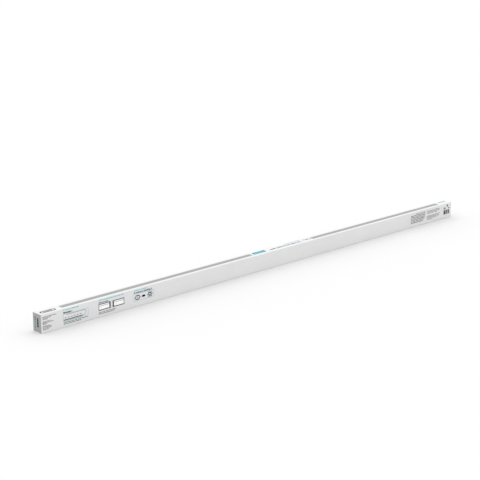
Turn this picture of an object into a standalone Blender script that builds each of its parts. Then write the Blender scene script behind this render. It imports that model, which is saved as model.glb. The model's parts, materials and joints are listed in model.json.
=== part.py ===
"""Boxed LED light tube: a tuck-end card carton with the lamp held in three collars.

Metres, +Z up. X runs along the carton, the printed front face looks along -Y,
and the origin is the middle of the carton's underside.
"""

import math

import bmesh
import bpy
from mathutils import Matrix, Vector

# Fit shared by every pair of pieces that touch
GAP = 0.0003

# Carton board, and the room that the carton leaves around the lamp
CARD = 0.0008
SIDE_ROOM = 0.00115
HEAD_ROOM = 0.0080
END_ROOM = 0.0020

# Tuck tongue, dust flaps and glue flap
TUCK_LENGTH = 0.0140
TUCK_CORNER = 0.0050
TUCK_SIDE_RELIEF = 0.0008
TUCK_STEPS = 14
DUST_MEETING_GAP = 0.0030
DUST_TOP_RELIEF = 0.0005
DUST_TAPER_DEG = 45.0
GLUE_FLAP_WIDTH = 0.0120
GLUE_FLAP_INSET = 0.0060

# Collars around the glass, and the folded leaflet beside it
COLLAR_LENGTH = 0.0300
COLLAR_FROM_CAP = 0.0200
LEAFLET_LENGTH = 0.1500
LEAFLET_HEIGHT = 0.0340
LEAF_THICKNESS = 0.0003
LEAF_COUNT = 3
LEAF_STEP = 0.0012
LEAFLET_FROM_MIDDLE = 0.3500

# Lamp: glass, end caps and contact pins
TUBE_LENGTH = 1.5000
GLASS_DIAMETER = 0.0254
GLASS_WALL = 0.0010
CAP_WALL = 0.0008
CAP_FACE = 0.0022
CAP_SKIRT = 0.0220
CAP_ROUND = 0.0012
PIN_DIAMETER = 0.00235
PIN_SPACING = 0.0127
PIN_LENGTH = 0.0070
PIN_ROOT = 0.0040
PIN_ROUND = 0.0007

# Light engine bonded along the inside of the glass
BOARD_WIDTH = 0.0120
BOARD_THICKNESS = 0.0010
BOARD_END_INSET = 0.0120
BOND_WIDTH = 0.0100
BOND_END_INSET = 0.0050
LED_LENGTH = 0.0035
LED_WIDTH = 0.0028
LED_HEIGHT = 0.0007
LED_PITCH = 0.0170
TRACK_THICKNESS = 0.0002

# Driver board behind the left cap, and what stands on it
DRIVER_INSET = 0.0100
DRIVER_DROP = 0.0020
DRIVER_THICKNESS = 0.0012
DRIVER_LAST_MARGIN = 0.0080
PART_SPACING = 0.0020
FUSE_DIAMETER = 0.0030
FUSE_LENGTH = 0.0080
RECTIFIER_SIZE = (0.0050, 0.0060, 0.0025)
FILM_CAPACITOR_SIZE = (0.0050, 0.0110, 0.0075)
BULK_CAPACITOR_DIAMETER = 0.0080
BULK_CAPACITOR_LENGTH = 0.0140
DRIVER_CHIP_SIZE = (0.0050, 0.0040, 0.0016)
TRANSFORMER_SIZE = (0.0120, 0.0100, 0.0080)
TRANSFORMER_WINDOW = 0.0060
CHOKE_DIAMETER = 0.0080
CHOKE_HEIGHT = 0.0075
WIRE_DIAMETER = 0.0010
WIRE_LANDING = 0.0040
WIRE_REACH = 0.0120
FEED_SPREAD = 0.0080

# Roundness of turned pieces, moulded edges and wires
GLASS_SIDES = 64
PIN_SIDES = 20
SMALL_SIDES = 24
ROUND_STEPS = 4
PART_BEVEL = 0.0004
PART_BEVEL_STEPS = 2
WIRE_ROUND_STEPS = 2
WIRE_PATH_STEPS = 10
SHARP_EDGE_DEG = 35.0

# Sizes that follow from the above
CAP_DIAMETER = GLASS_DIAMETER + 2.0 * (GAP + CAP_WALL)
END_STACK = 2.0 * CARD + GAP
CARTON_LENGTH = TUBE_LENGTH + 2.0 * (PIN_LENGTH + END_ROOM + END_STACK)
CARTON_WIDTH = CAP_DIAMETER + 2.0 * (SIDE_ROOM + CARD)
CARTON_HEIGHT = CAP_DIAMETER + 2.0 * (HEAD_ROOM + CARD)
HALF_LENGTH = CARTON_LENGTH / 2.0
HALF_WIDTH = CARTON_WIDTH / 2.0
INNER_HALF_WIDTH = HALF_WIDTH - CARD
LAMP_HEIGHT = CARTON_HEIGHT / 2.0
PANEL_HALF_LENGTH = HALF_LENGTH - CARD - GAP
GLASS_HALF_LENGTH = TUBE_LENGTH / 2.0 - CAP_FACE - GAP
BORE_RADIUS = GLASS_DIAMETER / 2.0 - GLASS_WALL
SEAT_RADIUS = BORE_RADIUS - GAP
BOARD_UNDERSIDE = -math.sqrt(SEAT_RADIUS ** 2 - (BOARD_WIDTH / 2.0) ** 2)
BOARD_TOP = BOARD_UNDERSIDE + BOARD_THICKNESS
BOARD_HALF_LENGTH = GLASS_HALF_LENGTH - BOARD_END_INSET
TONGUE_RADIUS = CARTON_HEIGHT - CARD - GAP
ENDS = {"left": -1.0, "right": 1.0}
SIDES = {"front": -1.0, "back": 1.0}


def clear_scene():
    """Empty the file of whatever it opened with."""
    for thing in list(bpy.data.objects):
        bpy.data.objects.remove(thing, do_unlink=True)


def finish(name, colour, roughness, metallic=0.0):
    """A plain Principled material."""
    made = bpy.data.materials.new(name)
    made.use_nodes = True
    shader = made.node_tree.nodes["Principled BSDF"]
    shader.inputs["Base Color"].default_value = (*colour, 1.0)
    shader.inputs["Roughness"].default_value = roughness
    shader.inputs["Metallic"].default_value = metallic
    made.diffuse_color = (*colour, 1.0)
    return made


def group(name, place):
    """An empty that a set of pieces is placed from."""
    made = bpy.data.objects.new(name, None)
    made.location = place
    bpy.context.scene.collection.objects.link(made)
    return made


def solid(name, mesh_data, look, parent, origin=(0.0, 0.0, 0.0), smooth=False):
    """Turn a bmesh in the parent's frame into a named object whose origin is given."""
    bmesh.ops.recalc_face_normals(mesh_data, faces=mesh_data.faces)
    bmesh.ops.translate(mesh_data, vec=-Vector(origin), verts=mesh_data.verts)
    mesh = bpy.data.meshes.new(name)
    mesh_data.to_mesh(mesh)
    mesh_data.free()
    mesh.materials.append(look)
    if smooth:
        mesh.shade_smooth()
        mesh.set_sharp_from_angle(angle=math.radians(SHARP_EDGE_DEG))
    made = bpy.data.objects.new(name, mesh)
    made.parent = parent
    made.location = origin
    bpy.context.scene.collection.objects.link(made)
    return made


def block_mesh(low, high):
    """A box between two corners."""
    made = bmesh.new()
    bmesh.ops.create_cube(made, size=1.0)
    low = Vector(low)
    high = Vector(high)
    bmesh.ops.scale(made, vec=high - low, verts=made.verts)
    bmesh.ops.translate(made, vec=(low + high) / 2.0, verts=made.verts)
    return made


def prism_mesh(outline, sweep):
    """An outline of 3-D points pushed along a vector."""
    made = bmesh.new()
    face = made.faces.new([made.verts.new(point) for point in outline])
    pushed = bmesh.ops.extrude_face_region(made, geom=[face], use_keep_orig=True)
    tips = [item for item in pushed["geom"] if isinstance(item, bmesh.types.BMVert)]
    bmesh.ops.translate(made, vec=sweep, verts=tips)
    return made


def turned_mesh(profile, sides, closed=False):
    """A profile of (x, radius) points turned around the X axis.

    A radius of zero ends the profile on the axis. A closed profile makes a ring.
    """
    made = bmesh.new()
    rings = []
    for x, radius in profile:
        if radius == 0.0:
            rings.append([made.verts.new((x, 0.0, 0.0))])
            continue
        ring = []
        for step in range(sides):
            angle = 2.0 * math.pi * step / sides
            ring.append(made.verts.new((x, radius * math.cos(angle), radius * math.sin(angle))))
        rings.append(ring)
    pairs = list(zip(rings, rings[1:]))
    if closed:
        pairs.append((rings[-1], rings[0]))
    for near, far in pairs:
        for step in range(sides):
            after = (step + 1) % sides
            corners = [near[step % len(near)], far[step % len(far)]]
            if len(far) > 1:
                corners.append(far[after])
            if len(near) > 1:
                corners.append(near[after])
            made.faces.new(corners)
    return made


def round_corner(centre, radius, start_deg, end_deg):
    """Points along a quarter round of a turned profile."""
    points = []
    for step in range(ROUND_STEPS + 1):
        angle = math.radians(start_deg + (end_deg - start_deg) * step / ROUND_STEPS)
        points.append((centre[0] + radius * math.cos(angle), centre[1] + radius * math.sin(angle)))
    return points


def move_mesh(made, vector):
    """Shift a bmesh and hand it back."""
    bmesh.ops.translate(made, vec=vector, verts=made.verts)
    return made


def rod_mesh(x_low, x_high, radius, sides):
    """A plain round rod along X."""
    return turned_mesh([(x_low, 0.0), (x_low, radius), (x_high, radius), (x_high, 0.0)], sides)


def cutter(name, mesh_data, parent):
    """A shape that only cuts others."""
    made = solid(name, mesh_data, bpy.data.materials["card_inside"], parent)
    made.hide_render = True
    made.display_type = "WIRE"
    return made


def cut(piece, tool):
    """Take a cutter's shape out of a piece."""
    step = piece.modifiers.new("cut", "BOOLEAN")
    step.operation = "DIFFERENCE"
    step.solver = "EXACT"
    step.object = tool


def soften(piece):
    """Small moulded edges on a block."""
    step = piece.modifiers.new("edges", "BEVEL")
    step.width = PART_BEVEL
    step.segments = PART_BEVEL_STEPS


def wire(name, points, look, parent):
    """A round insulated wire through a list of points."""
    curve = bpy.data.curves.new(name, "CURVE")
    curve.dimensions = "3D"
    curve.bevel_depth = WIRE_DIAMETER / 2.0
    curve.bevel_resolution = WIRE_ROUND_STEPS
    curve.use_fill_caps = True
    spline = curve.splines.new("POLY")
    spline.points.add(len(points) - 1)
    for slot, place in zip(spline.points, points):
        slot.co = (*place, 1.0)
    curve.materials.append(look)
    made = bpy.data.objects.new(name, curve)
    made.parent = parent
    bpy.context.scene.collection.objects.link(made)
    return made


def eased_path(start, end):
    """Points that leave and arrive level, easing from one height to the other."""
    start = Vector(start)
    end = Vector(end)
    points = []
    for step in range(WIRE_PATH_STEPS + 1):
        share = step / WIRE_PATH_STEPS
        place = start.lerp(end, share)
        place.z = start.z + (end.z - start.z) * share * share * (3.0 - 2.0 * share)
        points.append(place)
    return points


def make_looks():
    """Every material of the part, by name."""
    table = [
        ("card_print", (0.85, 0.85, 0.86), 0.45, 0.0),
        ("card_inside", (0.72, 0.70, 0.66), 0.85, 0.0),
        ("collar_card", (0.62, 0.53, 0.41), 0.90, 0.0),
        ("leaflet_paper", (0.88, 0.88, 0.86), 0.80, 0.0),
        ("frosted_glass", (0.90, 0.92, 0.93), 0.35, 0.0),
        ("cap_plastic", (0.84, 0.84, 0.83), 0.50, 0.0),
        ("pin_brass", (0.78, 0.72, 0.55), 0.30, 1.0),
        ("led_board_metal", (0.80, 0.82, 0.82), 0.45, 0.6),
        ("led_package", (0.88, 0.80, 0.42), 0.50, 0.0),
        ("bond_silicone", (0.80, 0.80, 0.78), 0.65, 0.0),
        ("driver_laminate", (0.12, 0.34, 0.20), 0.55, 0.0),
        ("component_black", (0.05, 0.05, 0.05), 0.45, 0.0),
        ("component_blue", (0.12, 0.20, 0.42), 0.45, 0.0),
        ("fuse_ceramic", (0.70, 0.66, 0.58), 0.40, 0.0),
        ("ferrite", (0.16, 0.16, 0.17), 0.60, 0.0),
        ("wire_red", (0.62, 0.10, 0.08), 0.50, 0.0),
        ("wire_white", (0.85, 0.85, 0.83), 0.50, 0.0),
    ]
    return {name: finish(name, *values) for name, *values in table}


def inward(end, depth):
    """X of a plane at a depth behind one end of the carton."""
    return ENDS[end] * (HALF_LENGTH - depth)


def make_sleeve(looks, carton):
    """The four wall panels and the glue flap of the folded carton."""
    top_under = CARTON_HEIGHT - CARD
    walls = {
        "bottom_panel": ((-HALF_LENGTH, -HALF_WIDTH, 0.0), (HALF_LENGTH, HALF_WIDTH, CARD)),
        "top_panel": (
            (-PANEL_HALF_LENGTH, -HALF_WIDTH, top_under),
            (PANEL_HALF_LENGTH, HALF_WIDTH, CARTON_HEIGHT),
        ),
    }
    for side, sign in SIDES.items():
        faces = sorted((sign * HALF_WIDTH, sign * INNER_HALF_WIDTH))
        walls[side + "_panel"] = (
            (-PANEL_HALF_LENGTH, faces[0], CARD + GAP),
            (PANEL_HALF_LENGTH, faces[1], top_under - GAP),
        )
    for name, (low, high) in walls.items():
        solid(name, block_mesh(low, high), looks["card_print"], carton)
    glue_half = HALF_LENGTH - END_STACK - GLUE_FLAP_INSET
    glue_back = INNER_HALF_WIDTH - GAP
    low = (-glue_half, glue_back - GLUE_FLAP_WIDTH, top_under - GAP - CARD)
    high = (glue_half, glue_back, top_under - GAP)
    solid("glue_flap", block_mesh(low, high), looks["card_inside"], carton)


def make_end_flap(end, looks, carton):
    """The closing flap, hinged on the top edge, and its tuck tongue."""
    hinge = (inward(end, 0.0), 0.0, CARTON_HEIGHT)
    faces = sorted((inward(end, 0.0), inward(end, CARD)))
    low = (faces[0], -HALF_WIDTH, CARD + GAP)
    high = (faces[1], HALF_WIDTH, CARTON_HEIGHT)
    solid(end + "_end_flap", block_mesh(low, high), looks["card_print"], carton, hinge)

    half_width = INNER_HALF_WIDTH - TUCK_SIDE_RELIEF
    corner_start = TUCK_LENGTH - TUCK_CORNER
    first_angle = math.asin((CARD + GAP) / TONGUE_RADIUS)
    made = bmesh.new()
    loops = []
    for step in range(TUCK_STEPS + 1):
        along = TUCK_LENGTH * math.sin(math.pi / 2.0 * step / TUCK_STEPS)
        angle = first_angle + along / TONGUE_RADIUS
        past = max(0.0, along - corner_start)
        reach = half_width - TUCK_CORNER + math.sqrt(max(0.0, TUCK_CORNER ** 2 - past ** 2))
        inside = TONGUE_RADIUS - CARD
        section = (
            (TONGUE_RADIUS, -reach),
            (TONGUE_RADIUS, reach),
            (inside, reach),
            (inside, -reach),
        )
        verts = []
        for radius, across in section:
            x = inward(end, radius * math.sin(angle))
            verts.append(made.verts.new((x, across, CARTON_HEIGHT - radius * math.cos(angle))))
        loops.append(verts)
    for near, far in zip(loops, loops[1:]):
        for corner in range(len(near)):
            after = (corner + 1) % len(near)
            made.faces.new((near[corner], near[after], far[after], far[corner]))
    made.faces.new(loops[0])
    made.faces.new(loops[-1])
    solid(end + "_tuck_tongue", made, looks["card_inside"], carton, hinge)


def make_dust_flaps(end, looks, carton):
    """The two small flaps behind the closing flap, hinged on the front and back panels."""
    reach = INNER_HALF_WIDTH - GAP - DUST_MEETING_GAP / 2.0
    tongue_half_angle = TUCK_LENGTH / TONGUE_RADIUS / 2.0
    tongue_inside = (TONGUE_RADIUS - CARD) * math.cos(tongue_half_angle)
    lowest = CARTON_HEIGHT - math.sqrt((tongue_inside - GAP) ** 2 - reach ** 2)
    highest = CARTON_HEIGHT - CARD - GAP - DUST_TOP_RELIEF
    taper = reach * math.tan(math.radians(DUST_TAPER_DEG))
    outer = inward(end, CARD + GAP)
    inner = inward(end, END_STACK)
    for side, sign in SIDES.items():
        fold = sign * (INNER_HALF_WIDTH - GAP)
        tip = sign * (INNER_HALF_WIDTH - GAP - reach)
        outline = [
            (outer, fold, lowest),
            (outer, tip, lowest),
            (outer, tip, highest - taper),
            (outer, fold, highest),
        ]
        made = prism_mesh(outline, (inner - outer, 0.0, 0.0))
        name = end + "_" + side + "_dust_flap"
        solid(name, made, looks["card_inside"], carton, (outer, fold, LAMP_HEIGHT))


def make_collars(looks, carton, lamp):
    """Three card collars that hold the glass in the middle of the carton."""
    half_width = INNER_HALF_WIDTH - GAP
    floor = CARD + GAP
    ceiling = CARTON_HEIGHT - 2.0 * (CARD + GAP) - GAP
    outer_end = TUBE_LENGTH / 2.0 - CAP_SKIRT - COLLAR_FROM_CAP
    centres = {
        "left_collar": -outer_end + COLLAR_LENGTH / 2.0,
        "middle_collar": 0.0,
        "right_collar": outer_end - COLLAR_LENGTH / 2.0,
    }
    bore = rod_mesh(-GLASS_HALF_LENGTH, GLASS_HALF_LENGTH, GLASS_DIAMETER / 2.0 + GAP, GLASS_SIDES)
    tool = cutter("collar_bore_cutter", bore, lamp)
    for name, centre in centres.items():
        low = (centre - COLLAR_LENGTH / 2.0, -half_width, floor)
        high = (centre + COLLAR_LENGTH / 2.0, half_width, ceiling)
        cut(solid(name, block_mesh(low, high), looks["collar_card"], carton), tool)


def make_leaflet(looks, carton):
    """A folded leaflet that stands between the glass and the front panel."""
    front = -INNER_HALF_WIDTH + GAP
    floor = CARD + GAP
    outline = [(0.0, front, floor)]
    for leaf in range(LEAF_COUNT):
        back = front + (leaf + 1) * LEAF_THICKNESS
        top = floor + LEAFLET_HEIGHT - leaf * LEAF_STEP
        outline.insert(1, (0.0, back - LEAF_THICKNESS, top))
        outline.insert(1, (0.0, back, top))
    outline.insert(1, (0.0, front + LEAF_COUNT * LEAF_THICKNESS, floor))
    start = -LEAFLET_FROM_MIDDLE - LEAFLET_LENGTH / 2.0
    made = move_mesh(prism_mesh(outline, (LEAFLET_LENGTH, 0.0, 0.0)), (start, 0.0, 0.0))
    solid("instruction_leaflet", made, looks["leaflet_paper"], carton)


def make_glass(looks, lamp):
    """The frosted glass tube, open at both ends."""
    outer = GLASS_DIAMETER / 2.0
    profile = [
        (-GLASS_HALF_LENGTH, outer),
        (GLASS_HALF_LENGTH, outer),
        (GLASS_HALF_LENGTH, BORE_RADIUS),
        (-GLASS_HALF_LENGTH, BORE_RADIUS),
    ]
    made = turned_mesh(profile, GLASS_SIDES, closed=True)
    solid("glass_tube", made, looks["frosted_glass"], lamp, smooth=True)


def make_caps_and_pins(looks, lamp):
    """Both end caps with their pairs of contact pins."""
    face = TUBE_LENGTH / 2.0
    outer = CAP_DIAMETER / 2.0
    inner = outer - CAP_WALL
    holes = bmesh.new()
    for sign in SIDES.values():
        rod = rod_mesh(-HALF_LENGTH, HALF_LENGTH, PIN_DIAMETER / 2.0 + GAP, PIN_SIDES)
        move_mesh(rod, (0.0, sign * PIN_SPACING / 2.0, 0.0))
        part = bpy.data.meshes.new("pin_hole")
        rod.to_mesh(part)
        rod.free()
        holes.from_mesh(part)
        bpy.data.meshes.remove(part)
    tool = cutter("pin_hole_cutter", holes, lamp)
    for end, way in ENDS.items():
        corner = round_corner((face - CAP_ROUND, outer - CAP_ROUND), CAP_ROUND, 0.0, 90.0)
        profile = [(face, 0.0)] + corner
        profile += [
            (face - CAP_FACE - CAP_SKIRT, outer),
            (face - CAP_FACE - CAP_SKIRT, inner),
            (face - CAP_FACE, inner),
            (face - CAP_FACE, 0.0),
        ]
        profile = [(way * x, radius) for x, radius in profile]
        made = turned_mesh(profile, GLASS_SIDES)
        cut(solid(end + "_end_cap", made, looks["cap_plastic"], lamp, smooth=True), tool)

        radius = PIN_DIAMETER / 2.0
        tip = face + PIN_LENGTH
        root = face - CAP_FACE - PIN_ROOT
        corner = round_corner((tip - PIN_ROUND, radius - PIN_ROUND), PIN_ROUND, 0.0, 90.0)
        profile = [(tip, 0.0)] + corner + [(root, radius), (root, 0.0)]
        profile = [(way * x, r) for x, r in profile]
        for side, sign in SIDES.items():
            made = turned_mesh(profile, PIN_SIDES)
            move_mesh(made, (0.0, sign * PIN_SPACING / 2.0, 0.0))
            solid(end + "_" + side + "_pin", made, looks["pin_brass"], lamp, smooth=True)


def make_light_engine(looks, lamp):
    """The bonded board with its row of LED packages."""
    low = (-BOARD_HALF_LENGTH, -BOARD_WIDTH / 2.0, BOARD_UNDERSIDE)
    high = (BOARD_HALF_LENGTH, BOARD_WIDTH / 2.0, BOARD_TOP)
    solid("led_board", block_mesh(low, high), looks["led_board_metal"], lamp)

    bond_half_length = BOARD_HALF_LENGTH - BOND_END_INSET
    half_angle = math.asin(BOND_WIDTH / 2.0 / SEAT_RADIUS)
    bond_top = BOARD_UNDERSIDE - GAP
    outline = [(-bond_half_length, -BOND_WIDTH / 2.0, bond_top)]
    for step in range(2 * ROUND_STEPS + 1):
        angle = half_angle * (step / ROUND_STEPS - 1.0)
        place = (SEAT_RADIUS * math.sin(angle), -SEAT_RADIUS * math.cos(angle))
        outline.append((-bond_half_length, *place))
    outline.append((-bond_half_length, BOND_WIDTH / 2.0, bond_top))
    made = prism_mesh(outline, (2.0 * bond_half_length, 0.0, 0.0))
    solid("board_adhesive", made, looks["bond_silicone"], lamp)

    count = int((2.0 * BOARD_HALF_LENGTH - 2.0 * WIRE_LANDING) / LED_PITCH)
    half_row = count * LED_PITCH / 2.0
    floor = BOARD_TOP + GAP
    track = floor + TRACK_THICKNESS
    crown = track + LED_HEIGHT
    outline = [(-half_row, floor), (-half_row, track)]
    for number in range(count):
        middle = -half_row + (number + 0.5) * LED_PITCH
        start = middle - LED_LENGTH / 2.0
        stop = middle + LED_LENGTH / 2.0
        outline += [(start, track), (start, crown), (stop, crown), (stop, track)]
    outline += [(half_row, track), (half_row, floor)]
    outline = [(x, -LED_WIDTH / 2.0, z) for x, z in outline]
    made = prism_mesh(outline, (0.0, LED_WIDTH, 0.0))
    solid("led_row", made, looks["led_package"], lamp)


def make_driver(looks, lamp):
    """The driver board, its components and the wires at both ends."""
    root = -TUBE_LENGTH / 2.0 + CAP_FACE + PIN_ROOT
    start = root + DRIVER_INSET
    top = -DRIVER_DROP
    under = top - DRIVER_THICKNESS
    half_width = math.sqrt(SEAT_RADIUS ** 2 - under ** 2)
    seat = top + GAP
    cursor = start + WIRE_LANDING + PART_SPACING

    def stand(name, size, look):
        """A moulded block on the board, after the last part."""
        nonlocal cursor
        low = (cursor, -size[1] / 2.0, seat)
        high = (cursor + size[0], size[1] / 2.0, seat + size[2])
        cursor += size[0] + PART_SPACING
        return solid(name, block_mesh(low, high), looks[look], lamp)

    def lay(name, diameter, length, look):
        """A round part that lies along the board, after the last part."""
        nonlocal cursor
        made = rod_mesh(cursor, cursor + length, diameter / 2.0, SMALL_SIDES)
        move_mesh(made, (0.0, 0.0, seat + diameter / 2.0))
        cursor += length + PART_SPACING
        return solid(name, made, looks[look], lamp, smooth=True)

    lay("input_fuse", FUSE_DIAMETER, FUSE_LENGTH, "fuse_ceramic")
    soften(stand("bridge_rectifier", RECTIFIER_SIZE, "component_black"))
    soften(stand("film_capacitor", FILM_CAPACITOR_SIZE, "component_blue"))
    soften(lay("bulk_capacitor", BULK_CAPACITOR_DIAMETER, BULK_CAPACITOR_LENGTH, "component_black"))
    soften(stand("driver_chip", DRIVER_CHIP_SIZE, "component_black"))

    core_start = cursor
    stand("transformer_core", TRANSFORMER_SIZE, "ferrite")
    window_middle = (core_start + cursor - PART_SPACING) / 2.0
    ceiling = seat + TRANSFORMER_SIZE[2] + GAP
    low = (window_middle - TRANSFORMER_WINDOW / 2.0, -TRANSFORMER_SIZE[1], seat + PART_SPACING)
    high = (window_middle + TRANSFORMER_WINDOW / 2.0, TRANSFORMER_SIZE[1], ceiling)
    window = cutter("core_window_cutter", block_mesh(low, high), lamp)
    cut(bpy.data.objects["transformer_core"], window)
    coil_low = (low[0] + GAP, -TRANSFORMER_SIZE[1] / 2.0, low[2] + GAP)
    coil_high = (high[0] - GAP, TRANSFORMER_SIZE[1] / 2.0, ceiling)
    coil = solid("transformer_winding", block_mesh(coil_low, coil_high), looks["pin_brass"], lamp)
    soften(coil)

    choke = rod_mesh(0.0, CHOKE_HEIGHT, CHOKE_DIAMETER / 2.0, SMALL_SIDES)
    upright = Matrix.Rotation(-math.pi / 2.0, 3, "Y")
    bmesh.ops.rotate(choke, matrix=upright, verts=choke.verts)
    move_mesh(choke, (cursor + CHOKE_DIAMETER / 2.0, 0.0, seat))
    cursor += CHOKE_DIAMETER + PART_SPACING
    soften(solid("output_choke", choke, looks["ferrite"], lamp, smooth=True))

    finish_x = cursor + DRIVER_LAST_MARGIN
    low = (start, -half_width, under)
    high = (finish_x, half_width, top)
    solid("driver_board", block_mesh(low, high), looks["driver_laminate"], lamp)

    wire_radius = WIRE_DIAMETER / 2.0
    on_driver = seat + wire_radius
    on_leds = BOARD_TOP + GAP + wire_radius
    for side, sign in SIDES.items():
        pin = sign * PIN_SPACING / 2.0
        path = eased_path((root + GAP, pin, 0.0), (start, pin, on_driver))
        path.append((start + WIRE_LANDING, pin, on_driver))
        look = looks["wire_white" if side == "front" else "component_black"]
        wire(side + "_supply_wire", path, look, lamp)

        across = sign * FEED_SPREAD / 2.0
        clear = finish_x + GAP + wire_radius
        path = [(finish_x - WIRE_LANDING, across, on_driver)]
        path += eased_path((clear, across, on_driver), (clear + WIRE_REACH, across, on_leds))
        path.append((clear + WIRE_REACH + WIRE_LANDING, across, on_leds))
        look = looks["wire_red" if side == "front" else "component_black"]
        wire(side + "_feed_wire", path, look, lamp)

    bridge_x = -root - GAP - wire_radius
    bridge_half = PIN_SPACING / 2.0 + PIN_DIAMETER / 2.0
    path = [(bridge_x, -bridge_half, 0.0), (bridge_x, bridge_half, 0.0)]
    wire("right_pin_bridge", path, looks["pin_brass"], lamp)


def main():
    """Build the carton and the lamp inside it."""
    clear_scene()
    looks = make_looks()
    carton = group("carton", (0.0, 0.0, 0.0))
    lamp = group("lamp", (0.0, 0.0, LAMP_HEIGHT))
    make_sleeve(looks, carton)
    for end in ENDS:
        make_end_flap(end, looks, carton)
        make_dust_flaps(end, looks, carton)
    make_collars(looks, carton, lamp)
    make_leaflet(looks, carton)
    make_glass(looks, lamp)
    make_caps_and_pins(looks, lamp)
    make_light_engine(looks, lamp)
    make_driver(looks, lamp)
    bpy.context.view_layer.update()


main()
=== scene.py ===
"""Looks of the boxed LED light tube: folded printed carton, lamp, floor, light and camera."""

import json
import math
import random

import bmesh
import bpy
from mathutils import Matrix, Vector


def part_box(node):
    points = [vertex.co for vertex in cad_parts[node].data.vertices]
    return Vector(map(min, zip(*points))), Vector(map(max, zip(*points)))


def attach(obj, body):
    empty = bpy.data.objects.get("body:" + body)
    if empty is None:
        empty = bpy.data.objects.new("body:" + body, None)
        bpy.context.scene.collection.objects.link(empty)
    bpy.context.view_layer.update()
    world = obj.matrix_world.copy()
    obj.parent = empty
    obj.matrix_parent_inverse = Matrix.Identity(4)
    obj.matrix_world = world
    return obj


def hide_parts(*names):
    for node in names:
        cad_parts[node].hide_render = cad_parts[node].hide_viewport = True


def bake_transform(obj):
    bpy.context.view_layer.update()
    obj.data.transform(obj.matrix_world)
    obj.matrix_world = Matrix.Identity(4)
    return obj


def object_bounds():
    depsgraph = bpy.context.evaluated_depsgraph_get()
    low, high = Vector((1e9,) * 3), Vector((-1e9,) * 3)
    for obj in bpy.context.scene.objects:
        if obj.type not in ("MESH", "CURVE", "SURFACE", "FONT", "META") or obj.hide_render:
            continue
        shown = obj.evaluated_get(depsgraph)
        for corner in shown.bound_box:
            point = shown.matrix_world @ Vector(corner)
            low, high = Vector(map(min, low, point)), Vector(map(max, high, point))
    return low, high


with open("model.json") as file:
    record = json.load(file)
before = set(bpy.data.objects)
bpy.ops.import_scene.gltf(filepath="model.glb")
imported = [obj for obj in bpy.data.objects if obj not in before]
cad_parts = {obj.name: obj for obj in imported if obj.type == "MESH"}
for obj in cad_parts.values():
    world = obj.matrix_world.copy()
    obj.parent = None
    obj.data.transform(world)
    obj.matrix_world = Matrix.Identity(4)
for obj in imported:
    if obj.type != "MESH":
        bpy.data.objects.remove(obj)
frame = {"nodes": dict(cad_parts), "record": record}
cad_low, cad_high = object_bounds()

# Sizes read from the frame
MM = 0.001
HALF_LENGTH = cad_high.x
HALF_WIDTH = cad_high.y
HEIGHT = cad_high.z
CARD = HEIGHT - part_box("top_panel")[0].z
FLAP_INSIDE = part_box("right_end_flap")[0].x

# Folded board
INK = 0.04 * MM
CREASE_RADIUS = 0.9 * MM
CREASE_STEPS = 6
WEAR_REACH = 1.6 * MM
FLAP_EDGE = 0.15 * MM
FLAP_EDGE_STEPS = 3
FACE_ON = 0.98
SHARP_EDGE = math.radians(40.0)
SEAM = 0.05 * MM
LINER = 0.2 * MM
WALL_HALF_LENGTH = FLAP_INSIDE - SEAM
BEND_RADIUS = HALF_LENGTH - INK - WALL_HALF_LENGTH

# Where most values of a noise texture lie, and the gloss of coated board and ink
NOISE_LOW = 0.3
NOISE_HIGH = 0.7
GLOSS_SPREAD = 0.05
PRINT_SPECULAR = 0.02

# Heights of greeked text in millimetres, with its block, step and gap as shares of the height
SMALL_TEXT = 1.5
CAPTION_TEXT = 1.7
HEADLINE_TEXT = 1.9
TEXT_BLOCK = 0.62
TEXT_STEP = 0.80
TEXT_GAP = 0.55
TEXT_RISE = (0.0, 0.0, 0.0, 0.35)
WORD_LENGTHS = (2, 9)
RULE = 0.8

# Printed area of the front and the ends, which hangs from the top folds
ART_HEIGHT = 43.5 * MM
ART_LOW = HEIGHT - ART_HEIGHT

# Camera, solved from the carton's edges in the 480 by 480 picture
CAMERA_PLACE = Vector((-2.3292, -2.2811, 0.9828))
CAMERA_YAW = math.radians(44.0683)
CAMERA_PITCH = math.radians(15.6494)
CAMERA_ROLL = math.radians(0.0402)
CAMERA_LENS = 95.546
CAMERA_SENSOR = 36.0
CAMERA_CLIP = 200.0

# Dome of light: level, then how it grows upward, toward the back and toward the right
DOME_LEVEL = 1.605
DOME_UP = -0.30
DOME_BACK = 0.30
DOME_RIGHT = 0.25
FLOOR_HALF = 40.0
FLOOR_STEPS = 8


def node_tree(name):
    """A fresh material with its tree, shader and object coordinates."""
    made = bpy.data.materials.new(name)
    made.use_nodes = True
    tree = made.node_tree
    shader = tree.nodes["Principled BSDF"]
    place = tree.nodes.new("ShaderNodeTexCoord").outputs["Object"]
    return made, tree, shader, place


def noise(tree, place, scale, detail=4.0, roughness=0.55):
    """A noise texture in cycles per metre."""
    made = tree.nodes.new("ShaderNodeTexNoise")
    made.inputs["Scale"].default_value = scale
    made.inputs["Detail"].default_value = detail
    made.inputs["Roughness"].default_value = roughness
    tree.links.new(place, made.inputs["Vector"])
    return made.outputs["Fac"]


def ranged(tree, value, low, high):
    """Spread a noise value over a range."""
    made = tree.nodes.new("ShaderNodeMapRange")
    made.inputs["From Min"].default_value = NOISE_LOW
    made.inputs["From Max"].default_value = NOISE_HIGH
    made.inputs["To Min"].default_value = low
    made.inputs["To Max"].default_value = high
    tree.links.new(value, made.inputs["Value"])
    return made.outputs["Result"]


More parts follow.
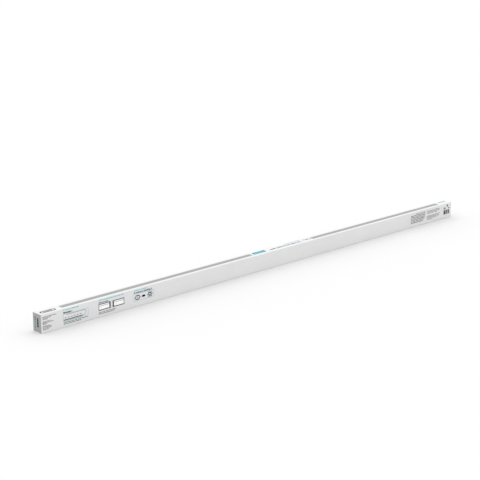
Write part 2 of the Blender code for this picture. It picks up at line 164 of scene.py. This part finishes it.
def mixed(tree, factor, first, second):
    """Mix two colours, or a socket and a colour, by a factor."""
    made = tree.nodes.new("ShaderNodeMix")
    made.data_type = "RGBA"
    tree.links.new(factor, made.inputs["Factor"])
    for slot, value in (("A", first), ("B", second)):
        socket = [item for item in made.inputs if item.name == slot and item.type == "RGBA"][0]
        if isinstance(value, bpy.types.NodeSocket):
            tree.links.new(value, socket)
        else:
            socket.default_value = (*value, 1.0)
    return [item for item in made.outputs if item.type == "RGBA"][0]


def bumped(tree, shader, height, strength, distance):
    """Relief from a height value."""
    made = tree.nodes.new("ShaderNodeBump")
    made.inputs["Strength"].default_value = strength
    made.inputs["Distance"].default_value = distance
    tree.links.new(height, made.inputs["Height"])
    tree.links.new(made.outputs["Normal"], shader.inputs["Normal"])


def shaded(colour, amount):
    """A colour made lighter or darker."""
    return tuple(min(1.0, part * amount) for part in colour)


def surface(name, colour, roughness, variation=0.04, patch=60.0, grain=1500.0, relief=0.15,
            depth=0.02 * MM, metallic=0.0, specular=0.5):
    """A material with soft colour patches, fine grain, uneven gloss and relief."""
    made, tree, shader, place = node_tree(name)
    patches = ranged(tree, noise(tree, place, patch), 0.0, 1.0)
    grains = noise(tree, place, grain, detail=6.0)
    base = mixed(tree, patches, shaded(colour, 1.0 - variation), shaded(colour, 1.0 + variation))
    speck = ranged(tree, grains, 0.0, 0.35)
    tinted = mixed(tree, speck, base, shaded(colour, 1.0 - 1.5 * variation))
    tree.links.new(tinted, shader.inputs["Base Color"])
    gloss = ranged(tree, patches, roughness - GLOSS_SPREAD, roughness + GLOSS_SPREAD)
    tree.links.new(gloss, shader.inputs["Roughness"])
    shader.inputs["Metallic"].default_value = metallic
    shader.inputs["Specular IOR Level"].default_value = specular
    bumped(tree, shader, grains, relief, depth)
    return made


def coated_board(name, colour):
    """White coated board whose creases are rubbed a little."""
    made, tree, shader, place = node_tree(name)
    patches = ranged(tree, noise(tree, place, 25.0), 0.0, 1.0)
    fibres = noise(tree, place, 2200.0, detail=6.0)
    base = mixed(tree, patches, shaded(colour, 0.985), shaded(colour, 1.01))
    wear = tree.nodes.new("ShaderNodeAttribute")
    wear.attribute_name = "crease_wear"
    rub = tree.nodes.new("ShaderNodeMath")
    rub.operation = "MULTIPLY"
    tree.links.new(wear.outputs["Fac"], rub.inputs[0])
    tree.links.new(ranged(tree, noise(tree, place, 400.0), 0.0, 0.6), rub.inputs[1])
    worn = mixed(tree, rub.outputs["Value"], base, shaded(colour, 0.93))
    tree.links.new(worn, shader.inputs["Base Color"])
    tree.links.new(ranged(tree, patches, 0.55, 0.65), shader.inputs["Roughness"])
    shader.inputs["Specular IOR Level"].default_value = PRINT_SPECULAR
    bumped(tree, shader, fibres, 0.12, 0.01 * MM)
    return made


def frosted_glass(name):
    """Opal glass with an uneven inner coat."""
    made, tree, shader, place = node_tree(name)
    coat = ranged(tree, noise(tree, place, 90.0), 0.0, 1.0)
    colour = mixed(tree, coat, (0.84, 0.86, 0.87), (0.93, 0.94, 0.94))
    tree.links.new(colour, shader.inputs["Base Color"])
    tree.links.new(ranged(tree, coat, 0.18, 0.28), shader.inputs["Roughness"])
    shader.inputs["Transmission Weight"].default_value = 0.35
    shader.inputs["IOR"].default_value = 1.5
    bumped(tree, shader, noise(tree, place, 3000.0), 0.05, 0.005 * MM)
    return made


def make_looks():
    """Every finish, by the record's slot or by its own name."""
    looks = {
        "card_print": coated_board("coated_board", (0.668, 0.668, 0.67)),
        # The end flaps' board is painted mid grey. This is painted shade that makes the carton's ends
        # darker than its white front and top.
        "flap_print": coated_board("end_board_painted_shade", (0.33, 0.332, 0.332)),
        "card_inside": surface(
            "board_back", (0.66, 0.645, 0.61), 0.85, 0.06, 45.0, 2600.0, 0.35, 0.03 * MM,
        ),
        "card_edge": surface(
            "board_edge", (0.60, 0.58, 0.54), 0.92, 0.10, 300.0, 5000.0, 0.5, 0.05 * MM,
        ),
        "collar_card": surface(
            "brown_board", (0.46, 0.35, 0.23), 0.90, 0.10, 80.0, 1800.0, 0.5, 0.06 * MM,
        ),
        "leaflet_paper": surface("leaflet_paper", (0.78, 0.78, 0.76), 0.80, 0.03, 50.0, 2500.0, 0.2),
        "frosted_glass": frosted_glass("opal_glass"),
        "cap_plastic": surface("cap_plastic", (0.78, 0.78, 0.77), 0.42, 0.02, 120.0, 4000.0, 0.12),
        "pin_brass": surface(
            "plated_brass", (0.72, 0.66, 0.50), 0.25, 0.05, 600.0, 9000.0, 0.1, metallic=1.0,
        ),
        "led_board_metal": surface("white_mask", (0.80, 0.82, 0.82), 0.40, 0.03, 90.0, 3000.0, 0.1),
        "led_package": surface("phosphor", (0.85, 0.72, 0.25), 0.45, 0.06, 500.0, 6000.0, 0.2),
        "bond_silicone": surface("silicone", (0.72, 0.72, 0.70), 0.60, 0.04, 200.0, 2500.0, 0.2),
        "driver_laminate": surface("green_mask", (0.03, 0.17, 0.07), 0.45, 0.12, 250.0, 4000.0, 0.15),
        "component_black": surface("black_moulding", (0.02, 0.02, 0.022), 0.45, 0.15, 300.0, 5000.0, 0.2),
        "component_blue": surface("blue_dip", (0.03, 0.07, 0.24), 0.25, 0.10, 200.0, 3000.0, 0.1),
        "fuse_ceramic": surface("fuse_ceramic", (0.62, 0.57, 0.48), 0.35, 0.05, 300.0, 5000.0, 0.15),
        "ferrite": surface("ferrite", (0.06, 0.06, 0.065), 0.60, 0.15, 400.0, 6000.0, 0.3),
        "wire_white": surface("wire_white", (0.80, 0.80, 0.78), 0.45, 0.03, 300.0, 4000.0, 0.1),
        "wire_red": surface("wire_red", (0.45, 0.03, 0.02), 0.45, 0.06, 300.0, 4000.0, 0.1),
    }
    inks = {
        "dark": (0.010, 0.010, 0.012),
        "text": (0.062, 0.062, 0.066),
        "band": (0.315, 0.32, 0.32),
        "line": (0.25, 0.25, 0.26),
        "teal": (0.005, 0.28, 0.36),
        "cyan": (0.01, 0.46, 0.56),
        "pale": (0.21, 0.46, 0.52),
        "white": (0.86, 0.86, 0.86),
    }
    for name, colour in inks.items():
        looks["ink_" + name] = surface(
            "ink_" + name, colour, 0.6, 0.05, 150.0, 4000.0, 0.08, specular=PRINT_SPECULAR,
        )
    return looks


def add_piece(name, mesh_data, looks_used, smooth=False):
    """Turn a bmesh into a piece of the carton."""
    bmesh.ops.recalc_face_normals(mesh_data, faces=mesh_data.faces)
    mesh = bpy.data.meshes.new(name)
    mesh_data.to_mesh(mesh)
    mesh_data.free()
    for look in looks_used:
        mesh.materials.append(look)
    if smooth:
        mesh.shade_smooth()
        mesh.set_sharp_from_angle(angle=SHARP_EDGE)
    made = bpy.data.objects.new(name, mesh)
    bpy.context.scene.collection.objects.link(made)
    return made


def folded_strip(start, end, half_width, low, high, radius):
    """Points (y, z, wear) along the blank, from its seam over top, front and bottom, then up the back."""
    centres = (
        (-half_width + radius, high - radius, 90.0),
        (-half_width + radius, low + radius, 180.0),
        (half_width - radius, low + radius, 270.0),
    )
    points = [(*start, 0.5)]
    for centre_y, centre_z, turn in centres:
        fold = []
        for step in range(CREASE_STEPS + 1):
            angle = math.radians(turn + 90.0 * step / CREASE_STEPS)
            fold.append((centre_y + radius * math.cos(angle), centre_z + radius * math.sin(angle), 1.0))
        unworn = []
        for (y, z, _), way in ((fold[0], turn - 90.0), (fold[-1], turn + 180.0)):
            angle = math.radians(way)
            unworn.append((y + WEAR_REACH * math.cos(angle), z + WEAR_REACH * math.sin(angle), 0.0))
        points += [unworn[0]] + fold + [unworn[1]]
    points.append((*end, 0.5))
    return points


def make_sleeve(looks):
    """The carton's four walls as one folded blank whose seam lies along the top back edge."""
    out_y = HALF_WIDTH - INK
    seam_z = HEIGHT - CARD - SEAM
    inner_radius = CREASE_RADIUS - CARD + INK
    outside = folded_strip(
        (out_y, HEIGHT - INK), (out_y, seam_z),
        out_y, INK, HEIGHT - INK, CREASE_RADIUS,
    )
    inside = folded_strip(
        (out_y, HEIGHT - CARD), (HALF_WIDTH - CARD, seam_z),
        HALF_WIDTH - CARD, CARD, HEIGHT - CARD, inner_radius,
    )
    made = bmesh.new()
    wear = made.verts.layers.float.new("crease_wear")
    rows = []
    for strip, side in ((outside, -1.0), (outside, 1.0), (inside, 1.0), (inside, -1.0)):
        row = []
        for y, z, rub in strip:
            reach = HALF_LENGTH - INK if z <= CARD else WALL_HALF_LENGTH
            vert = made.verts.new((side * reach, y, z))
            vert[wear] = rub
            row.append(vert)
        rows.append(row)
    printed, edge, plain = 0, 1, 2
    for index, look in enumerate((printed, edge, plain, edge)):
        near = rows[index]
        far = rows[(index + 1) % len(rows)]
        for step in range(len(near) - 1):
            face = made.faces.new((near[step], near[step + 1], far[step + 1], far[step]))
            face.material_index = look
    for tip in (0, -1):
        face = made.faces.new([row[tip] for row in rows])
        face.material_index = edge
    used = [looks["card_print"], looks["card_edge"], looks["card_inside"]]
    piece = add_piece("carton_sleeve", made, used, smooth=True)
    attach(piece, "carton")
    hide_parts("top_panel", "bottom_panel", "front_panel", "back_panel")


def make_flap(end, looks):
    """A closing flap: outside painted grey as painted shade, white cut edges, plain board inside."""
    low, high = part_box(end + "_end_flap")
    outward = -1.0 if end == "left" else 1.0
    low = low + Vector((INK if outward < 0.0 else 0.0, INK, 0.0))
    high = high - Vector((INK if outward > 0.0 else 0.0, INK, INK + BEND_RADIUS))
    made = bmesh.new()
    bmesh.ops.create_cube(made, size=1.0)
    bmesh.ops.scale(made, vec=high - low, verts=made.verts)
    bmesh.ops.translate(made, vec=(low + high) / 2.0, verts=made.verts)
    bmesh.ops.bevel(
        made, geom=made.edges[:], offset=FLAP_EDGE, segments=FLAP_EDGE_STEPS, profile=0.5, affect="EDGES",
    )
    made.normal_update()
    printed, edge, plain = 0, 1, 2
    for face in made.faces:
        facing = face.normal.x * outward
        if abs(facing) < FACE_ON:
            face.material_index = edge
        else:
            face.material_index = printed if facing > 0.0 else plain
    # The outside takes the end board, whose grey is painted shade.
    used = [looks["flap_print"], looks["card_print"], looks["card_inside"]]
    piece = add_piece(end + "_flap_card", made, used, smooth=True)
    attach(piece, end + "_flap")
    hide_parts(end + "_end_flap")


def make_bend(end, looks):
    """The scored liner that joins the top wall to a closing flap."""
    outward = -1.0 if end == "left" else 1.0
    half_width = HALF_WIDTH - INK
    foot = HEIGHT - INK - BEND_RADIUS
    made = bmesh.new()
    loops = []
    for step in range(CREASE_STEPS + 1):
        angle = math.radians(90.0 * step / CREASE_STEPS)
        loop = []
        inner = BEND_RADIUS - LINER
        for radius, side in ((BEND_RADIUS, -1.0), (BEND_RADIUS, 1.0), (inner, 1.0), (inner, -1.0)):
            x = outward * (WALL_HALF_LENGTH + radius * math.sin(angle))
            loop.append(made.verts.new((x, side * half_width, foot + radius * math.cos(angle))))
        loops.append(loop)
    # The half nearer the flap takes the end board, whose grey is painted shade.
    white, grey = 0, 1
    for step in range(CREASE_STEPS):
        near = loops[step]
        far = loops[step + 1]
        for corner in range(len(near)):
            after = (corner + 1) % len(near)
            face = made.faces.new((near[corner], near[after], far[after], far[corner]))
            face.material_index = white if step < CREASE_STEPS // 2 else grey
    made.faces.new(loops[0]).material_index = white
    made.faces.new(loops[-1]).material_index = grey
    piece = add_piece(end + "_bend", made, [looks["card_print"], looks["flap_print"]], smooth=True)
    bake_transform(piece)


class Print:
    """Flat ink shapes on one face of the carton, in millimetres from the art's lower left corner."""

    def __init__(self, name, corner, across, up, body):
        """corner, across and up place the face; its outside is across x up."""
        across = Vector(across)
        up = Vector(up)
        out = across.cross(up)
        turn = Matrix((across, up, out)).transposed().to_4x4()
        self.name = name
        self.body = body
        self.place = Matrix.Translation(Vector(corner)) @ turn @ Matrix.Scale(MM, 4)
        self.inks = {}

    def quad(self, ink, points):
        """One convex outline of (across, up) points."""
        self.inks.setdefault(ink, []).append(points)

    def bar(self, ink, left, low, right, high):
        """A plain rectangle."""
        self.quad(ink, [(left, low), (right, low), (right, high), (left, high)])

    def frame(self, ink, left, low, right, high, thick):
        """Four bars round a rectangle."""
        self.bar(ink, left, low, right, low + thick)
        self.bar(ink, left, high - thick, right, high)
        self.bar(ink, left, low + thick, left + thick, high - thick)
        self.bar(ink, right - thick, low + thick, right, high - thick)

    def stroke(self, ink, points, thick, closed=False):
        """A line of even thickness through points, mitred at its bends."""
        count = len(points)
        sides = []
        for index, (x, y) in enumerate(points):
            before = points[index - 1] if index or closed else points[index]
            after = points[(index + 1) % count] if index + 1 < count or closed else points[index]
            way = Vector((after[0] - before[0], after[1] - before[1])).normalized()
            aside = Vector((-way.y, way.x)) * thick / 2.0
            sides.append(((x + aside.x, y + aside.y), (x - aside.x, y - aside.y)))
        for index in range(count if closed else count - 1):
            near = sides[index]
            far = sides[(index + 1) % count]
            self.quad(ink, [near[0], near[1], far[1], far[0]])

    def words(self, ink, left, top, width, size, seed):
        """One line of greeked text: word-length rows of short upright blocks, some of them taller."""
        draw = random.Random(seed)
        block = size * TEXT_BLOCK
        step = size * TEXT_STEP
        gap = size * TEXT_GAP
        cursor = left
        while cursor + step < left + width:
            room = int((left + width - cursor) / step)
            for _ in range(min(draw.randint(*WORD_LENGTHS), room)):
                rise = size * draw.choice(TEXT_RISE)
                self.bar(ink, cursor, top - size, cursor + block, top + rise)
                cursor += step
            cursor += gap

    def paragraph(self, ink, left, top, widths, size, leading, seed):
        """Greeked lines under one another."""
        for number, width in enumerate(widths):
            self.words(ink, left, top - number * leading, width, size, seed * 31 + number)

    def build(self, looks):
        """Make one thin piece of ink for each colour."""
        for ink, outlines in self.inks.items():
            made = bmesh.new()
            for points in outlines:
                made.faces.new([made.verts.new((x, y, 0.0)) for x, y in points])
            raised = bmesh.ops.extrude_face_region(made, geom=made.faces[:], use_keep_orig=True)
            tips = [item for item in raised["geom"] if isinstance(item, bmesh.types.BMVert)]
            bmesh.ops.translate(made, vec=(0.0, 0.0, INK / MM), verts=tips)
            bmesh.ops.transform(made, matrix=self.place, verts=made.verts)
            piece = add_piece(self.name + "_" + ink, made, [looks["ink_" + ink]])
            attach(piece, self.body)


def arc(centre, radius, start_deg, end_deg, steps=10):
    """Points along a circle's arc."""
    points = []
    for step in range(steps + 1):
        angle = math.radians(start_deg + (end_deg - start_deg) * step / steps)
        points.append((centre[0] + radius * math.cos(angle), centre[1] + radius * math.sin(angle)))
    return points


def hexagon(centre, reach):
    """The six corners of a hexagon that reaches so far across and up."""
    points = []
    for number in range(6):
        angle = math.radians(60.0 * number)
        points.append((centre[0] + reach[0] * math.cos(angle), centre[1] + reach[1] * math.sin(angle)))
    return points


def print_text_column(face):
    """Three greeked paragraphs beside the left end."""
    left = 4.0
    leading = 2.8
    paragraphs = (
        (37.2, (39.0, 24.0, 16.0)),
        (26.0, (24.0, 31.0, 14.0)),
        (15.6, (20.0, 25.0, 24.0, 18.0)),
    )
    for seed, (top, widths) in enumerate(paragraphs, start=1):
        face.paragraph("text", left, top, widths, SMALL_TEXT, leading, seed)


def print_tube_panel(face):
    """A light tube drawn in outline under a headline."""
    text_left = 62.0
    face.words("cyan", text_left, 40.6, 44.0, HEADLINE_TEXT, 10)
    face.words("dark", text_left, 34.4, 26.0, 3.0, 11)

    left, right = 61.5, 133.5
    low, high = 12.6, 30.2
    teal_low, teal_right = 12.4, 114.0
    face.bar("pale", left, low + RULE, left + RULE, high - RULE)
    face.bar("pale", left, high - RULE, right, high)
    face.bar("pale", right - RULE, low, right, high - RULE)
    face.bar("pale", teal_right + 0.5, low, right - RULE, low + RULE)
    face.bar("teal", left, teal_low, teal_right, low + RULE)

    tube_end = (121.0, 22.3)
    tube_radius = 5.7
    outline = [(70.0, tube_end[1] + tube_radius)]
    outline += arc(tube_end, tube_radius, 90.0, -90.0)
    outline.append((118.2, tube_end[1] - tube_radius))
    face.stroke("line", outline, 1.2)
    for number in range(6):
        dash_left = 66.0 + 8.5 * number
        face.bar("line", dash_left, 19.6, dash_left + 5.0, 21.6)
    face.bar("dark", 62.8, 14.8, 117.0, 16.8)

    face.words("text", text_left, 10.2, 71.0, CAPTION_TEXT, 12)
    face.words("text", text_left, 6.8, 52.0, CAPTION_TEXT, 13)


def print_box_panel(face):
    """Two open windows that face each other across a pair of dark bars."""
    head_left = 164.0
    face.words("cyan", head_left, 40.2, 77.0, HEADLINE_TEXT, 20)
    face.words("dark", head_left, 34.6, 30.0, 2.2, 21)

    low, high = 14.4, 30.8
    rim = 2.0
    line_low, line_high = 25.0, 26.2
    bar_width, side_width = 3.6, 1.6
    windows = ((165.2, 195.6, 195.6, 163.6), (209.0, 239.2, 205.4, 239.2))
    for left, right, bar, side in windows:
        face.bar("white", left, low + rim, right, line_low)
        face.bar("line", left, line_low, right, line_high)
        face.bar("white", left, line_high, right, high - rim)
        face.bar("dark", left, low, right, low + rim)
        face.bar("dark", left, high - rim, right, high)
        face.bar("text", side, low, side + side_width, high)
        face.bar("dark", bar, low, bar + bar_width, high)

    caption_left = 163.4
    face.words("text", caption_left, 10.4, 53.0, CAPTION_TEXT, 22)
    face.words("text", caption_left, 7.0, 47.0, CAPTION_TEXT, 23)


def print_icon_panel(face):
    """Three plain pictograms in a frame: a nut, a lozenge and a sun."""
    text_left = 271.0
    face.words("cyan", text_left, 39.6, 42.0, HEADLINE_TEXT, 30)
    face.words("dark", text_left, 34.8, 56.0, 2.8, 31)
    face.frame("pale", 270.2, 12.6, 333.4, 31.0, RULE)

    nut_middle, nut_reach = (281.6, 21.0), (8.4, 5.4)
    lozenge_middle, lozenge_reach = (300.6, 21.2), (6.4, 3.0)
    face.stroke("dark", hexagon(nut_middle, nut_reach), 2.4, closed=True)
    face.bar("line", 279.0, 19.6, 284.2, 22.4)
    face.quad("dark", hexagon(lozenge_middle, lozenge_reach))

    sun = Vector((320.6, 21.4))
    ring, ray_start, ray_end = 3.8, 5.8, 9.0
    face.stroke("dark", arc(sun, ring, 0.0, 330.0, 11), 2.6, closed=True)
    for number in range(8):
        angle = math.radians(45.0 * number)
        ray = Vector((math.cos(angle), math.sin(angle)))
        face.stroke("text", [tuple(sun + ray * ray_start), tuple(sun + ray * ray_end)], 2.0)


def print_data_panel(face):
    """Greeked data, bars that carry no code and small marks beside the right end."""
    face.words("text", 1352.0, 37.4, 43.0, 1.4, 40)
    face.paragraph("dark", 1328.0, 33.6, (68.0, 68.0, 66.0, 68.0, 64.0, 58.0), 2.0, 4.3, 41)
    column_left = 1403.6
    leading = 3.5
    face.paragraph("text", column_left, 35.9, (60.0, 64.0, 50.0), SMALL_TEXT, leading, 42)
    face.paragraph("text", column_left, 20.6, (64.0, 60.0, 58.0, 26.0), SMALL_TEXT, leading, 43)

    draw = random.Random(53)
    bars_left, bars_low, bars_high = 1485.6, 10.4, 23.8
    bar_gap, group_gap = 0.4, 2.2
    cursor = bars_left
    for count in (5, 3, 3):
        for _ in range(count):
            thick = draw.choice((0.8, 1.4, 2.2))
            face.bar("dark", cursor, bars_low, cursor + thick, bars_high)
            cursor += thick + bar_gap
        cursor += group_gap
    face.frame("dark", bars_left, 26.6, 1494.6, 31.6, 1.8)
    face.quad("dark", arc((1503.0, 36.4), 3.3, 0.0, 330.0, 11))
    face.bar("dark", 1506.0, 27.4, 1515.0, 29.6)


def print_front(looks):
    """Text and pictogram panels at the left, data at the right, bare board between."""
    corner = (-HALF_LENGTH, -HALF_WIDTH + INK, ART_LOW)
    face = Print("front_print", corner, (1, 0, 0), (0, 0, 1), "carton")
    print_text_column(face)
    print_tube_panel(face)
    print_box_panel(face)
    print_icon_panel(face)
    print_data_panel(face)
    face.build(looks)


def print_top(looks):
    """Two grey bands, with teal and grey marks between and beside them."""
    face = Print("top_print", (-HALF_LENGTH, -HALF_WIDTH, HEIGHT - INK), (1, 0, 0), (0, 1, 0), "carton")
    tube_middle, tube_radius = 13.4, 4.4
    tube = arc((13.0, tube_middle), tube_radius, 90.0, 270.0)
    tube += arc((44.0, tube_middle), tube_radius, -90.0, 90.0)
    face.stroke("dark", tube, 3.0, closed=True)
    face.bar("dark", 16.0, tube_middle - 1.0, 41.0, tube_middle + 1.0)

    band_low, band_high = 8.9, 24.0
    for left, right in ((65.3, 681.0), (912.0, 1472.5)):
        face.bar("band", left, band_low, right, band_high)

    slant_low, slant_high = 10.5, 25.5
    slant_width, slant_lean = 7.6, 4.0
    for number in range(5):
        left = 687.0 + 9.4 * number
        right = left + slant_width
        face.quad("teal", [
            (left, slant_low), (right, slant_low),
            (right + slant_lean, slant_high), (left + slant_lean, slant_high),
        ])
    face.words("dark", 749.0, 17.0, 124.0, 4.6, 60)
    face.words("pale", 814.0, 26.8, 62.0, 3.4, 61)
    face.bar("teal", 882.0, 17.0, 887.0, 23.0)
    face.bar("dark", 889.0, 16.0, 902.0, 20.0)
    face.bar("teal", 903.0, 12.0, 908.0, 17.0)

    tag_low, tag_high = 19.3, 23.7
    for left, right in ((1486.0, 1498.0), (1500.0, 1507.0), (1509.0, 1519.0)):
        face.bar("teal", left, tag_low, right, tag_high)
    face.build(looks)


def print_end(end, looks):
    """Upright greeked lines on an end flap."""
    if end == "left":
        corner = (-HALF_LENGTH + INK, HALF_WIDTH, ART_LOW)
        across = (0, -1, 0)
    else:
        corner = (HALF_LENGTH - INK, -HALF_WIDTH, ART_LOW)
        across = (0, 1, 0)
    face = Print(end + "_end_print", corner, across, (0, 0, 1), end + "_flap")
    lines = (
        ("dark", 15.8, 21.0, ((11.0, 16.5), (17.6, 23.2), (24.2, 28.2), (29.2, 32.6))),
        ("teal", 7.6, 9.6, ((7.0, 12.0), (13.0, 17.6), (18.6, 23.2))),
        ("dark", 7.4, 9.8, ((25.4, 29.4), (30.4, 35.0))),
    )
    for ink, left, right, words in lines:
        for low, high in words:
            face.bar(ink, left, low, right, high)
    face.build(looks)


def dress_frame(looks):
    """Give every CAD node its finish."""
    slots = {item["node"]: item["material_slot"] for item in frame["record"]["subparts"]}
    for name, thing in frame["nodes"].items():
        thing.data.materials.clear()
        thing.data.materials.append(looks[slots[name]])


def make_floor():
    """A wide pale floor under the carton."""
    made = bmesh.new()
    bmesh.ops.create_grid(made, x_segments=FLOOR_STEPS, y_segments=FLOOR_STEPS, size=FLOOR_HALF)
    mesh = bpy.data.meshes.new("floor")
    made.to_mesh(mesh)
    made.free()
    look = surface("floor_white", (0.715, 0.715, 0.715), 0.9, 0.003, 3.0, 400.0, 0.0, specular=0.0)
    mesh.materials.append(look)
    floor = bpy.data.objects.new("floor", mesh)
    bpy.context.scene.collection.objects.link(floor)


def make_light():
    """A soft dome that is brighter behind the carton and toward its right end."""
    world = bpy.data.worlds.new("studio")
    world.use_nodes = True
    tree = world.node_tree
    sky = tree.nodes["Background"]
    sky.inputs["Color"].default_value = (1.0, 1.0, 1.0, 1.0)
    way = tree.nodes.new("ShaderNodeTexCoord").outputs["Generated"]
    lean = tree.nodes.new("ShaderNodeVectorMath")
    lean.operation = "DOT_PRODUCT"
    lean.inputs[1].default_value = (DOME_RIGHT, DOME_BACK, DOME_UP)
    tree.links.new(way, lean.inputs[0])
    level = tree.nodes.new("ShaderNodeMath")
    level.operation = "ADD"
    level.inputs[1].default_value = DOME_LEVEL
    tree.links.new(lean.outputs["Value"], level.inputs[0])
    lit = tree.nodes.new("ShaderNodeMath")
    lit.operation = "MAXIMUM"
    lit.inputs[1].default_value = 0.0
    tree.links.new(level.outputs["Value"], lit.inputs[0])
    tree.links.new(lit.outputs["Value"], sky.inputs["Strength"])
    bpy.context.scene.world = world
    bpy.context.scene.view_settings.view_transform = "Standard"


def make_camera():
    """The picture's viewpoint."""
    ahead = Vector((
        math.sin(CAMERA_YAW) * math.cos(CAMERA_PITCH),
        math.cos(CAMERA_YAW) * math.cos(CAMERA_PITCH),
        -math.sin(CAMERA_PITCH),
    ))
    right = Vector((math.cos(CAMERA_YAW), -math.sin(CAMERA_YAW), 0.0))
    up = right.cross(ahead)
    turn = Matrix((right, up, -ahead)).transposed() @ Matrix.Rotation(CAMERA_ROLL, 3, "Z")
    data = bpy.data.cameras.new("camera")
    data.sensor_width = CAMERA_SENSOR
    data.lens = CAMERA_LENS
    data.clip_end = CAMERA_CLIP
    made = bpy.data.objects.new("camera", data)
    made.matrix_world = Matrix.Translation(CAMERA_PLACE) @ turn.to_4x4()
    bpy.context.scene.collection.objects.link(made)
    bpy.context.scene.camera = made


looks = make_looks()
dress_frame(looks)
make_sleeve(looks)
for end_name in ("left", "right"):
    make_flap(end_name, looks)
    make_bend(end_name, looks)
    print_end(end_name, looks)
print_front(looks)
print_top(looks)
make_floor()
make_light()
make_camera()
